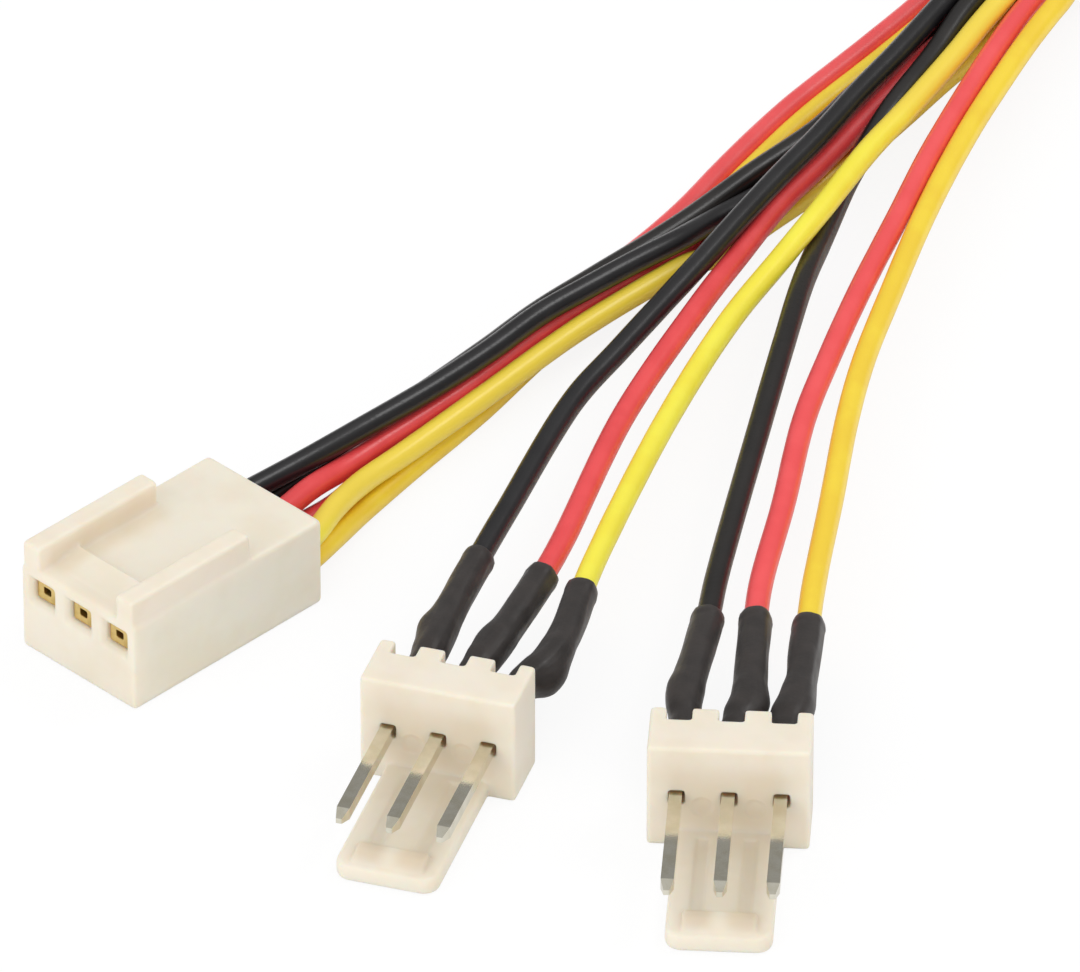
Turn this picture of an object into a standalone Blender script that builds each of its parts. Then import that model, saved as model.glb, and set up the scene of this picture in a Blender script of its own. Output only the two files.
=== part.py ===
"""Fan splitter cable: one three-way socket housing wired to two three-pin headers.

Metres, +Z up. The frame has its origin in the middle of the socket housing's underside,
+Y from its mating face towards the wires, and +X towards the two pin headers.
"""

import math

import bmesh
import bpy
from mathutils import Matrix, Vector

MM = 0.001
WAYS = (("black", -1), ("red", 0), ("yellow", 1))  # colour, place across the connector
PITCH = 2.54 * MM
CLEAR = 0.03 * MM  # what keeps two fitted pieces apart
LAP = 0.3 * MM  # how far a joined or cutting shape runs past the face it meets
EDGE = 0.12 * MM  # the moulded bodies' small edge bevel
FINE_EDGE = 0.08 * MM  # the same on ribs and tabs
SHARP = math.radians(40)  # an edge that turns more than this is bevelled, or stays sharp

# Socket housing, its lengths counted from the mating face
SOCKET_WIDTH = 7.95 * MM
SOCKET_LENGTH = 12.9 * MM
SOCKET_HEIGHT = 4.95 * MM
RIB_WIDTH = 1.15 * MM
RIB_HEIGHT = 1.4 * MM
RIB_LENGTH = 8.15 * MM
RIB_INSET = 0.15 * MM
RAMP_FROM = 1.0 * MM
RAMP_LENGTH = 1.7 * MM
RAMP_HEIGHT = 0.4 * MM
MOUTH_Z = 3.65 * MM
MOUTH_WIDTH = 1.45 * MM
MOUTH_HEIGHT = 1.2 * MM
MOUTH_FLARE = 0.25 * MM
MOUTH_WALL = 0.9 * MM
CAVITY_WIDTH = 2.04 * MM
CAVITY_FLOOR = 0.7 * MM
CAVITY_TOP = 4.33 * MM
WINDOW_LENGTH = 1.5 * MM
WINDOW_WIDTH = 1.15 * MM
WINDOW_FROM = 4.3 * MM

# Crimp terminal
STRIP = 0.2 * MM
CONTACT_LENGTH = 4.6 * MM
CONTACT_WIDTH = 1.5 * MM
CONTACT_GAP = 0.7 * MM
RISER = 0.3 * MM  # thickness of the two walls that carry the contact's leaves
CORE_CRIMP_FROM = 6.6 * MM
CORE_CRIMP_LENGTH = 1.6 * MM
GRIP_FROM = 8.9 * MM
GRIP_LENGTH = 1.5 * MM
TANG_LENGTH = 0.45 * MM
TANG_DROP = 0.42 * MM
TANG_CLEAR = 0.12 * MM

# Pin header
HEADER_WIDTH = 7.9 * MM
HEADER_DEPTH = 2.45 * MM
HEADER_HEIGHT = 5.8 * MM
STANDOFF = 1.0 * MM
CHANNEL_WIDTH = 1.25 * MM
PIN_Z = 2.85 * MM
PIN_SIDE = 0.64 * MM
PIN_LENGTH = 7.6 * MM
PIN_TAIL = 1.5 * MM
PIN_TAPER = 0.7 * MM
PIN_TIP = 0.29 * MM  # side of the tip's small end face
PIN_TAIL_TAPER = 0.35 * MM
PIN_TAIL_TIP = 0.45 * MM
TAB_WIDTH = 5.2 * MM
TAB_LENGTH = 8.5 * MM
TAB_HEIGHT = 0.95 * MM
TAB_CORNER = 0.8 * MM
CORNER_STEPS = 5
LIP_LENGTH = 1.5 * MM
LIP_HEIGHT = 0.3 * MM
LIP_SLOPE = 0.9 * MM
LIP_INSET = 0.3 * MM
GROOVE_WIDTH = 0.75 * MM
GROOVE_DEPTH = 0.18 * MM
GROOVE_APART = 2.3 * MM
GROOVE_FROM = 0.5 * MM
GROOVE_TO_LIP = 0.3 * MM
EJECTOR = 1.1 * MM  # the round marks between the pins, and how deep they are
EJECTOR_DEPTH = 0.05 * MM
EJECTOR_Z = 2.35 * MM

# Wire, its bare ends and the shrink sleeves
WIRE = 1.2 * MM
CORE = 0.56 * MM
STEP = 2.8 * MM
GRIPPED_SPARE = 0.2 * MM  # insulation between the bare end and the grip
STRAIGHT_IN = 0.5 * MM  # straight stretch each side of the housing's rear face
STRAIGHT_OUT = 2.4 * MM  # straight stretch in line with a pin, behind its header
FINE = 0.2 * MM  # spacing of a smooth curve's points
SLEEVE = 1.66 * MM
SLEEVE_NECK = 1.46 * MM  # over the pin's tail
SLEEVE_WAIST = 1.5 * MM  # at the sleeve's open end, round the wire
SLEEVE_BORE = 1.27 * MM
SLEEVE_IN = 0.1 * MM
NECK_LENGTH = 2.4 * MM
SHOULDER = 0.7 * MM
END_ROUND = 0.3 * MM
SLEEVE_SIDES = 12
BARE_FROM = 1.7 * MM
INSULATED_FROM = 3.5 * MM
SOLDER = 1.16 * MM
SOLDER_LENGTH = 1.1 * MM

# Where each pin header lies: its front face's middle, and its turn from the socket housing
HEADERS = {"a": (18.92 * MM, -0.54 * MM), "b": (32.3 * MM, 5.91 * MM)}
HEADER_TURN_DEGREES = {"a": 27.2, "b": 40.9}
SLEEVE_LENGTHS = {
    "black_a": 11.7 * MM, "red_a": 11.3 * MM, "yellow_a": 10.8 * MM,
    "black_b": 11.6 * MM, "red_b": 11.65 * MM, "yellow_b": 11.3 * MM,
}

# The fold out of the picture, in millimetres, from the socket's leg round to the headers' leg
LOOP = (
    (-9.8, 70.0), (-11.7, 75.0), (-14.2, 80.0), (-16.5, 85.0), (-17.4, 90.5), (-15.6, 96.0),
    (-10.8, 99.5), (-5.2, 98.4), (-2.0, 94.0), (-1.9, 88.5), (-3.7, 83.0), (-6.0, 78.0),
    (-8.0, 73.0),
)

# Each wire's own route in millimetres: from its terminal; its lane round the fold as place
# along LOOP, lanes out from LOOP and height; and on to its pin
LANE_APART = 1.28 * MM
ROUTES = {
    "black_a": {
        "level": 1,
        "out": (
            (-2.3, 11.8, 2.85), (-2.0, 16.0, 3.1), (-2.0, 20.0, 3.1), (-2.25, 24.3, 3.1),
            (-2.7, 28.5, 3.1), (-2.65, 32.0, 3.1), (-2.6, 35.0, 3.05), (-2.7, 38.2, 2.75),
            (-3.3, 41.4, 2.1), (-3.65, 45.0, 1.62), (-4.05, 48.0, 1.25), (-5.5, 54.4, 0.63),
            (-6.45, 60.5, 0.63), (-7.4, 65.5, 0.63),
        ),
        "lane": (
            (0, -1.0, 0.63), (5, -1.05, 0.63), (6, -1.45, 0.63), (7, -1.85, 0.63),
            (8, -2.0, 0.63), (10, -2.0, 0.65), (11, -2.0, 1.4), (12, -2.2, 3.05),
        ),
        "back": (
            (-8.6, 66.4, 3.1), (-7.8, 63.6, 3.1), (-6.15, 58.1, 3.1), (-5.1, 54.2, 3.1),
            (-3.7, 49.7, 3.15), (-2.6, 45.7, 3.2), (-1.4, 41.6, 3.2), (-0.2, 37.5, 3.1),
            (2.1, 29.3, 2.9), (3.5, 24.6, 2.85), (7.8, 15.5, 2.85), (9.4, 12.2, 2.85),
            (12.2, 6.7, 2.85),
        ),
    },
    "red_a": {
        "level": 1,
        "out": (
            (-0.8, 10.4, 2.5), (-1.38, 13.0, 1.97), (-1.7, 16.5, 1.86), (-2.05, 22.3, 1.86),
            (-2.85, 28.9, 1.86), (-2.97, 33.0, 1.86), (-3.05, 36.5, 1.5), (-3.15, 38.2, 1.05),
            (-3.6, 41.3, 0.63), (-4.55, 45.0, 0.63), (-6.0, 50.4, 0.63), (-6.93, 55.5, 0.63),
            (-7.7, 60.5, 0.63), (-8.64, 65.5, 0.63),
        ),
        "lane": (
            (0, 0.0, 0.63), (5, 0.0, 0.63), (6, -0.3, 0.63), (7, -0.75, 0.63),
            (8, -1.0, 0.63), (10, -1.05, 0.63), (11, -1.0, 1.2), (12, -0.75, 1.94),
        ),
        "back": (
            (-7.1, 65.5, 1.84), (-6.2, 60.5, 1.82), (-4.6, 54.4, 1.83), (-3.2, 49.3, 1.85),
            (-2.0, 45.1, 2.05), (-0.15, 40.3, 2.25), (2.1, 35.1, 2.8), (6.2, 25.4, 2.85),
            (11.5, 15.7, 2.85), (12.7, 13.3, 2.85), (15.2, 7.5, 2.85),
        ),
    },
    "yellow_a": {
        "level": 1,
        "out": (
            (1.35, 10.0, 2.65), (0.3, 13.0, 2.15), (-0.2, 16.3, 1.9), (-0.88, 22.7, 1.87),
            (-1.53, 28.7, 1.87), (-1.72, 31.5, 1.86), (-1.8, 36.0, 1.85), (-2.0, 38.2, 1.6),
            (-2.35, 41.3, 0.7), (-2.7, 45.0, 0.63), (-2.95, 48.0, 0.63), (-3.95, 54.4, 0.63),
            (-5.2, 60.5, 0.63), (-6.16, 65.5, 0.63),
        ),
        "lane": (
            (0, -2.0, 0.63), (4, -2.0, 0.63), (5, -1.9, 1.6), (6, -1.35, 2.0),
            (7, -0.75, 1.95), (8, -0.1, 1.35), (9, 0.0, 0.63), (10, 0.0, 0.65),
            (11, 0.0, 1.4), (12, 0.05, 2.8),
        ),
        "back": (
            (-6.1, 66.8, 3.18), (-5.7, 65.5, 3.15), (-4.9, 63.0, 3.15), (-3.85, 60.0, 3.15),
            (-2.1, 54.4, 3.15), (-1.1, 50.8, 3.12), (1.0, 44.9, 3.12), (2.4, 40.6, 3.0),
            (4.2, 35.1, 2.85), (8.0, 26.6, 2.85), (13.7, 15.8, 2.85), (15.6, 12.6, 2.85),
            (17.2, 10.0, 2.85), (18.3, 7.6, 2.85),
        ),
    },
    "black_b": {
        "level": 0,
        "out": (
            (-2.75, 11.5, 1.5), (-3.1, 16.0, 1.6), (-3.35, 21.5, 1.8), (-3.68, 25.8, 1.87),
            (-4.13, 29.7, 1.87), (-4.26, 34.0, 1.87), (-4.35, 38.5, 1.87), (-4.53, 41.5, 1.87),
            (-5.02, 46.1, 1.87), (-5.45, 51.5, 1.87), (-6.15, 54.6, 1.87), (-7.4, 60.5, 1.85),
            (-8.4, 65.5, 1.86),
        ),
        "lane": (
            (0, 0.0, 1.87), (4, -0.5, 1.76), (5, 0.0, 1.88), (6, 0.5, 1.8), (7, 0.7, 1.88),
            (8, 1.0, 1.9), (9, 0.5, 1.84), (10, -0.5, 1.87), (11, -0.8, 2.45), (12, -1.05, 3.2),
        ),
        "back": (
            (-7.15, 65.9, 3.08), (-6.4, 63.3, 3.0), (-5.2, 60.0, 2.7), (-3.3, 54.6, 2.6),
            (-2.0, 51.0, 1.95), (-1.0, 48.9, 1.86), (1.3, 44.9, 1.84), (4.15, 40.4, 2.5),
            (7.6, 35.4, 2.85), (11.3, 30.0, 2.85), (19.2, 18.6, 2.85), (21.3, 15.8, 2.85),
            (25.1, 10.3, 2.85),
        ),
    },
    "red_b": {
        "level": 0,
        "out": (
            (-0.4, 11.5, 1.0), (-1.6, 16.0, 0.63), (-3.1, 23.0, 0.63), (-4.35, 30.0, 0.63),
            (-5.25, 35.3, 0.63), (-5.68, 38.8, 0.63), (-6.4, 42.5, 0.63), (-7.85, 47.8, 0.63),
            (-9.05, 53.0, 0.63), (-9.82, 58.0, 0.63), (-10.2, 60.5, 0.63), (-11.1, 65.5, 0.63),
        ),
        "lane": (
            (0, 2.0, 0.63), (1, 1.95, 1.2), (2, 1.6, 1.92), (3, 1.2, 1.7), (4, 1.0, 0.63),
            (10, 1.0, 0.65), (11, 1.0, 1.4), (12, 1.15, 2.35),
        ),
        "back": (
            (-4.82, 66.6, 2.7), (-3.54, 63.4, 2.85), (-2.2, 60.2, 2.85), (1.2, 52.8, 2.85),
            (3.8, 47.8, 2.85), (7.0, 41.6, 2.85), (10.0, 36.2, 2.85), (12.8, 31.5, 2.85),
            (17.2, 25.4, 2.85), (21.3, 19.5, 2.85), (24.6, 15.6, 2.85), (27.3, 12.4, 2.85),
        ),
    },
    "yellow_b": {
        "level": 0,
        "out": (
            (1.9, 9.2, 1.35), (0.8, 12.2, 0.85), (-0.15, 16.0, 0.63), (-1.4, 23.0, 0.63),
            (-2.35, 27.0, 0.63), (-3.45, 32.2, 0.63), (-4.0, 35.3, 0.63), (-4.4, 38.5, 0.63),
            (-5.15, 42.5, 0.63), (-6.58, 47.8, 0.63), (-7.8, 53.0, 0.63), (-8.57, 58.0, 0.63),
            (-8.95, 60.5, 0.63), (-9.87, 65.5, 0.63),
        ),
        "lane": (
            (0, 1.0, 0.63), (1, 1.0, 0.63), (2, 1.4, 0.63), (3, 2.0, 0.63),
            (10, 2.0, 0.65), (11, 2.05, 1.4), (12, 2.3, 2.3),
        ),
        "back": (
            (-3.63, 67.5, 2.85), (-2.55, 64.4, 2.85), (-1.0, 60.6, 2.85), (1.2, 55.6, 2.85),
            (4.5, 49.1, 2.85), (8.4, 42.3, 2.85), (11.5, 37.1, 2.85), (14.4, 32.9, 2.85),
            (18.6, 27.4, 2.85), (23.2, 21.3, 2.85), (26.4, 17.4, 2.85), (29.0, 14.1, 2.85),
        ),
    },
}


def material(name, colour, roughness, metallic=0.0):
    made = bpy.data.materials.new(name)
    made.use_nodes = True
    shader = made.node_tree.nodes["Principled BSDF"]
    shader.inputs["Base Color"].default_value = (*colour, 1.0)
    shader.inputs["Roughness"].default_value = roughness
    shader.inputs["Metallic"].default_value = metallic
    made.diffuse_color = (*colour, 1.0)
    return made


def finish_of(kind):
    finishes = {
        "nylon": ((0.83, 0.75, 0.62), 0.45, 0.0),
        "brass": ((0.72, 0.55, 0.3), 0.3, 1.0),
        "tin": ((0.72, 0.7, 0.66), 0.3, 1.0),
        "copper": ((0.75, 0.42, 0.26), 0.35, 1.0),
        "shrink": ((0.03, 0.028, 0.027), 0.55, 0.0),
        "black": ((0.012, 0.011, 0.011), 0.3, 0.0),
        "red": ((0.75, 0.06, 0.06), 0.35, 0.0),
        "yellow": ((0.9, 0.68, 0.05), 0.35, 0.0),
    }
    return finishes[kind]


def own_material(piece, kind):
    colour, roughness, metallic = finish_of(kind)
    piece.data.materials.append(material(piece.name + "_finish", colour, roughness, metallic))


def piece_of(name, work, kind=None):
    """An object made from a bmesh; it becomes a node if it is given a finish."""
    bmesh.ops.recalc_face_normals(work, faces=work.faces)
    mesh = bpy.data.meshes.new(name)
    work.to_mesh(mesh)
    work.free()
    made = bpy.data.objects.new(name, mesh)
    bpy.context.scene.collection.objects.link(made)
    if kind:
        own_material(made, kind)
    return made


def add_box(work, low, high):
    """A box between two corners, added to a bmesh."""
    size = [high[i] - low[i] for i in range(3)]
    middle = [(high[i] + low[i]) / 2 for i in range(3)]
    place = Matrix.Translation(middle) @ Matrix.Diagonal((*size, 1.0))
    return bmesh.ops.create_cube(work, size=1.0, matrix=place)["verts"]


def add_prism(work, outline, start, end):
    """An outline of (y, z) points carried along X from start to end, added to a bmesh."""
    near = [work.verts.new((start, y, z)) for y, z in outline]
    far = [work.verts.new((end, y, z)) for y, z in outline]
    work.faces.new(near)
    work.faces.new(far[::-1])
    for i in range(len(outline)):
        j = (i + 1) % len(outline)
        work.faces.new((near[j], near[i], far[i], far[j]))


def helper(name, fill):
    """A closed mesh that a Boolean uses; fill adds its shape to the bmesh."""
    work = bmesh.new()
    fill(work)
    made = piece_of(name, work)
    made.hide_render = True
    made.display_type = "WIRE"
    return made


def boolean(piece, other, operation="DIFFERENCE"):
    change = piece.modifiers.new(other.name, "BOOLEAN")
    change.operation = operation
    change.solver = "EXACT"
    change.use_self = True
    change.object = other
    other.parent = piece


def soften(piece, width):
    bevel = piece.modifiers.new("edges", "BEVEL")
    bevel.width = width
    bevel.segments = 2
    bevel.limit_method = "ANGLE"
    bevel.angle_limit = SHARP


def spots(work, low, high):
    """The same box at each of the three ways, its corners given from the way's middle."""
    for _, place in WAYS:
        shift = place * PITCH
        add_box(work, (low[0] + shift, *low[1:]), (high[0] + shift, *high[1:]))


def socket_housing():
    """The female body: two polarising ribs, a lock ramp between them, and three open cavities."""
    front = -SOCKET_LENGTH / 2
    half = SOCKET_WIDTH / 2
    work = bmesh.new()
    add_box(work, (-half, front, 0.0), (half, -front, SOCKET_HEIGHT))
    housing = piece_of("socket_housing", work, "nylon")
    soften(housing, EDGE)

    for side in (-1, 1):
        outer = side * (half - RIB_INSET)
        inner = outer - side * RIB_WIDTH
        low = (min(outer, inner), front, SOCKET_HEIGHT - LAP)
        high = (max(outer, inner), front + RIB_LENGTH, SOCKET_HEIGHT + RIB_HEIGHT)
        rib = helper(f"rib_{'left' if side < 0 else 'right'}", lambda w: add_box(w, low, high))
        soften(rib, FINE_EDGE)
        boolean(housing, rib, "UNION")

    inside = half - RIB_INSET - RIB_WIDTH
    ramp = (
        (front + RAMP_FROM, SOCKET_HEIGHT - LAP),
        (front + RAMP_FROM, SOCKET_HEIGHT + CLEAR),
        (front + RAMP_FROM + RAMP_LENGTH, SOCKET_HEIGHT + RAMP_HEIGHT),
        (front + RAMP_FROM + RAMP_LENGTH, SOCKET_HEIGHT - LAP),
    )
    lock = helper("lock_ramp", lambda w: add_prism(w, ramp, -inside - LAP, inside + LAP))
    boolean(housing, lock, "UNION")

    def cavities(w):
        spots(w, (-CAVITY_WIDTH / 2, front + MOUTH_WALL, CAVITY_FLOOR),
              (CAVITY_WIDTH / 2, -front + LAP, CAVITY_TOP))

    def mouths(w):
        spots(w, (-MOUTH_WIDTH / 2, front - LAP, MOUTH_Z - MOUTH_HEIGHT / 2),
              (MOUTH_WIDTH / 2, front + MOUTH_WALL + LAP, MOUTH_Z + MOUTH_HEIGHT / 2))

    def windows(w):
        spots(w, (-WINDOW_WIDTH / 2, front + WINDOW_FROM, -LAP),
              (WINDOW_WIDTH / 2, front + WINDOW_FROM + WINDOW_LENGTH, CAVITY_FLOOR + LAP))

    boolean(housing, helper("cavities", cavities))
    boolean(housing, helper("mouths", mouths))
    boolean(housing, helper("lead_ins", lambda w: lead_ins(w, front)))
    boolean(housing, helper("windows", windows))


def lead_ins(work, front):
    """The mouths' flared edges: a square frustum at each way."""
    for _, place in WAYS:
        rings = []
        for y, more in ((front - MOUTH_FLARE, 2 * MOUTH_FLARE), (front + MOUTH_FLARE, 0.0)):
            half_w = MOUTH_WIDTH / 2 + more
            half_h = MOUTH_HEIGHT / 2 + more
            corners = ((-half_w, -half_h), (half_w, -half_h), (half_w, half_h), (-half_w, half_h))
            rings.append([work.verts.new((place * PITCH + x, y, MOUTH_Z + z)) for x, z in corners])
        near, far = rings
        work.faces.new(near)
        work.faces.new(far[::-1])
        for i in range(4):
            j = (i + 1) % 4
            work.faces.new((near[j], near[i], far[i], far[j]))


def wire_heights():
    """The heights of a terminal's two wires, the lower one first."""
    low = CAVITY_FLOOR + STRIP + 2 * CLEAR + WIRE / 2
    return low, low + WIRE + CLEAR


def terminal(colour, place):
    """A folded strip: a two-leaf contact at the mouth, a core crimp and an insulation grip."""
    front = -SOCKET_LENGTH / 2
    start = front + MOUTH_WALL + CLEAR
    grip_end = front + GRIP_FROM + GRIP_LENGTH
    base = CAVITY_FLOOR + CLEAR
    half = CONTACT_WIDTH / 2
    low_z, high_z = wire_heights()
    wrap = WIRE / 2 + CLEAR
    work = bmesh.new()
    add_box(work, (-half, start, base), (half, grip_end, base + STRIP))
    strip = piece_of(f"terminal_{colour}", work, "brass")
    strip.location.x = place * PITCH

    lower = MOUTH_Z - CONTACT_GAP / 2 - STRIP
    upper = MOUTH_Z + CONTACT_GAP / 2

    def leaves(w):
        add_box(w, (-half, start, lower), (half, start + CONTACT_LENGTH, lower + STRIP))
        add_box(w, (-half, start, base), (half, start + RISER, lower + STRIP / 2))

    def back(w):
        end = start + CONTACT_LENGTH
        add_box(w, (-half, start + STRIP, upper), (half, end, upper + STRIP))
        add_box(w, (-half, end - RISER, base), (half, end, upper + STRIP / 2))

    def crimps(w):
        core = front + CORE_CRIMP_FROM
        wide = CORE / 2 + CLEAR + STRIP
        for side in (-1, 1):
            inner, outer = sorted((side * (wide - STRIP), side * wide))
            add_box(w, (inner, core, base), (outer, core + CORE_CRIMP_LENGTH, high_z + CORE / 2))
            inner, outer = sorted((side * wrap, side * (wrap + STRIP)))
            add_box(w, (inner, front + GRIP_FROM, base), (outer, grip_end, high_z + WIRE / 4))

    def tang(w):
        y = front + WINDOW_FROM + TANG_CLEAR
        side = WINDOW_WIDTH / 2 - TANG_CLEAR
        add_box(w, (-side, y, CAVITY_FLOOR - TANG_DROP), (side, y + TANG_LENGTH, base + STRIP / 2))

    for name, fill in (("leaf", leaves), ("back", back), ("crimps", crimps), ("tang", tang)):
        extra = helper(f"{colour}_{name}", fill)
        boolean(strip, extra, "UNION")


def header_place(label):
    turn = math.radians(HEADER_TURN_DEGREES[label])
    return Matrix.Translation((*HEADERS[label], 0.0)) @ Matrix.Rotation(turn, 4, "Z")


def tab_outline():
    """The lock tab seen from above, its two free corners rounded."""
    half = TAB_WIDTH / 2
    points = [(-half, HEADER_DEPTH / 2), (half, HEADER_DEPTH / 2)]
    for side in (1, -1):
        centre = (side * (half - TAB_CORNER), -TAB_LENGTH + TAB_CORNER)
        for step in range(CORNER_STEPS + 1):
            turn = math.pi / 2 * step / CORNER_STEPS
            across = math.cos(turn) if side > 0 else math.sin(turn)
            along = math.sin(turn) if side > 0 else math.cos(turn)
            points.append((centre[0] + side * TAB_CORNER * across, centre[1] - TAB_CORNER * along))
    return points


def add_plate(work, outline, low, high):
    """An outline of (x, y) points between two heights, added to a bmesh."""
    bottom = [work.verts.new((x, y, low)) for x, y in outline]
    top = [work.verts.new((x, y, high)) for x, y in outline]
    work.faces.new(bottom[::-1])
    work.faces.new(top)
    for i in range(len(outline)):
        j = (i + 1) % len(outline)
        work.faces.new((bottom[i], bottom[j], top[j], top[i]))


def header_body(label):
    """A male body: the block with its standoffs behind, and the lock tab that runs under the pins."""
    half = HEADER_WIDTH / 2
    work = bmesh.new()
    add_box(work, (-half, 0.0, 0.0), (half, HEADER_DEPTH + STANDOFF, HEADER_HEIGHT))
    body = piece_of(f"header_body_{label}", work, "nylon")
    body.matrix_world = header_place(label)
    soften(body, EDGE)

    hole = PIN_SIDE / 2 + CLEAR
    lip_tip = -TAB_LENGTH + LIP_INSET
    lip_end = lip_tip + LIP_LENGTH
    tab = helper(f"tab_{label}", lambda w: add_plate(w, tab_outline(), 0.0, TAB_HEIGHT))
    soften(tab, FINE_EDGE)

    def lip(w):
        side = TAB_WIDTH / 2 - TAB_CORNER
        outline = ((lip_tip, TAB_HEIGHT - LAP), (lip_tip, TAB_HEIGHT + CLEAR),
                   (lip_tip + LIP_SLOPE, TAB_HEIGHT + LIP_HEIGHT),
                   (lip_end, TAB_HEIGHT + LIP_HEIGHT), (lip_end, TAB_HEIGHT - LAP))
        add_prism(w, outline, -side, side)

    def grooves(w):
        for side in (-1, 1):
            middle = side * GROOVE_APART / 2
            add_box(w, (middle - GROOVE_WIDTH / 2, lip_end + GROOVE_TO_LIP, TAB_HEIGHT - GROOVE_DEPTH),
                    (middle + GROOVE_WIDTH / 2, -GROOVE_FROM, TAB_HEIGHT + LAP))

    def channels(w):
        spots(w, (-CHANNEL_WIDTH / 2, HEADER_DEPTH, -LAP),
              (CHANNEL_WIDTH / 2, HEADER_DEPTH + STANDOFF + LAP, HEADER_HEIGHT + LAP))

    def pin_holes(w):
        spots(w, (-hole, -LAP, PIN_Z - hole), (hole, HEADER_DEPTH + LAP, PIN_Z + hole))

    def ejector_marks(w):
        for side in (-1, 1):
            place = Matrix.Translation((side * PITCH / 2, EJECTOR_DEPTH - LAP, EJECTOR_Z))
            bmesh.ops.create_cone(w, cap_ends=True, segments=20, radius1=EJECTOR / 2, radius2=EJECTOR / 2,
                                  depth=2 * LAP, matrix=place @ Matrix.Rotation(math.pi / 2, 4, "X"))

    boolean(body, helper(f"channels_{label}", channels))
    boolean(body, tab, "UNION")
    boolean(body, helper(f"lip_{label}", lip), "UNION")
    boolean(body, helper(f"grooves_{label}", grooves))
    boolean(body, helper(f"pin_holes_{label}", pin_holes))
    boolean(body, helper(f"ejector_marks_{label}", ejector_marks))


def pin(colour, place, label):
    """A square pin with a tapered tip, from its tip to its soldered tail."""
    tail = HEADER_DEPTH + STANDOFF + PIN_TAIL
    sections = (
        (-PIN_LENGTH, PIN_TIP), (-PIN_LENGTH + PIN_TAPER, PIN_SIDE),
        (tail - PIN_TAIL_TAPER, PIN_SIDE), (tail, PIN_TAIL_TIP),
    )
    work = bmesh.new()
    rings = []
    for y, side in sections:
        half = side / 2
        corners = ((-half, -half), (half, -half), (half, half), (-half, half))
        rings.append([work.verts.new((x, y, z)) for x, z in corners])
    for near, far in zip(rings, rings[1:]):
        for i in range(4):
            j = (i + 1) % 4
            work.faces.new((near[i], near[j], far[j], far[i]))
    work.faces.new(rings[0][::-1])
    work.faces.new(rings[-1])
    made = piece_of(f"pin_{colour}_{label}", work, "tin")
    made.matrix_world = header_place(label) @ Matrix.Translation((place * PITCH, 0.0, PIN_Z))


def spline(points):
    """Closely spaced points on the smooth curve through the given ones."""
    ends = [2 * points[0] - points[1], *points, 2 * points[-1] - points[-2]]
    found = []
    for before, start, end, after in zip(ends, ends[1:], ends[2:], ends[3:]):
        gaps = [max((b - a).length, 1e-9) ** 0.5 for a, b in ((before, start), (start, end), (end, after))]
        first = gaps[1] * ((start - before) / gaps[0] - (end - before) / (gaps[0] + gaps[1])
                           + (end - start) / gaps[1])
        last = gaps[1] * ((end - start) / gaps[1] - (after - start) / (gaps[1] + gaps[2])
                          + (after - end) / gaps[2])
        count = max(2, round((end - start).length / FINE))
        for step in range(count):
            t = step / count
            found.append(start * (2 * t**3 - 3 * t**2 + 1) + first * (t**3 - 2 * t**2 + t)
                         + end * (3 * t**2 - 2 * t**3) + last * (t**3 - t**2))
    return [*found, points[-1]]


def spaced(points, step):
    """Evenly spaced points along a fine polyline, its two ends included."""
    total = sum((b - a).length for a, b in zip(points, points[1:]))
    count = max(1, round(total / step))
    found, walked, wanted = [points[0]], 0.0, total / count
    for a, b in zip(points, points[1:]):
        stretch = (b - a).length
        while walked + stretch >= wanted and len(found) < count:
            found.append(a.lerp(b, (wanted - walked) / stretch))
            wanted += total / count
        walked += stretch
    return [*found, points[-1]]


def stretch_of(points, start, end):
    """The part of a polyline between two distances along it, corners kept."""
    found, walked = [], 0.0
    for a, b in zip(points, points[1:]):
        length = (b - a).length
        if walked + length > start and walked < end:
            if not found:
                found.append(a.lerp(b, max(0.0, (start - walked) / length)))
            if walked + length < end:
                found.append(b.copy())
            else:
                found.append(a.lerp(b, (end - walked) / length))
        walked += length
    return found


def lane_points(lane):
    """The wire's points round the fold, at its distance out from LOOP and its height."""
    points = []
    for i, (x, y) in enumerate(LOOP):
        before, after = LOOP[max(i - 1, 0)], LOOP[min(i + 1, len(LOOP) - 1)]
        heading = Vector((after[0] - before[0], after[1] - before[1])).normalized()
        start = max((key for key in lane if key[0] <= i), key=lambda key: key[0])
        end = min((key for key in lane if key[0] >= i), key=lambda key: key[0])
        share = (i - start[0]) / (end[0] - start[0]) if end[0] > start[0] else 0.0
        out = LANE_APART * (start[1] + share * (end[1] - start[1]))
        height = start[2] + share * (end[2] - start[2])
        points.append(Vector((x, y, height)) * MM + Vector((-heading.y, heading.x, 0.0)) * out)
    return points


def wire_path(name):
    """The evenly spaced centre line from the grip in the housing to the header's back face."""
    colour, label = name.rsplit("_", 1)
    route = ROUTES[name]
    place = dict(WAYS)[colour]
    height = wire_heights()[route["level"]]
    front = -SOCKET_LENGTH / 2
    leaving = (GRIP_FROM - GRIPPED_SPARE, SOCKET_LENGTH - STRAIGHT_IN, SOCKET_LENGTH + STRAIGHT_IN)
    points = [Vector((place * PITCH, front + along, height)) for along in leaving]
    points += [Vector(point) * MM for point in route["out"]]
    points += lane_points(route["lane"])
    points += [Vector(point) * MM for point in route["back"]]
    back = HEADER_DEPTH + STANDOFF
    in_line, last = (header_place(label) @ Vector((place * PITCH, back + more, PIN_Z))
                     for more in (STRAIGHT_OUT, 0.0))
    curved = spline([*points, in_line, last])
    curved = stretch_of(curved, 0.0, path_length(curved) - STRAIGHT_OUT)
    return [*spaced(curved, STEP)[:-1], in_line, last]


def path_length(points):
    return sum((b - a).length for a, b in zip(points, points[1:]))


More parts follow.
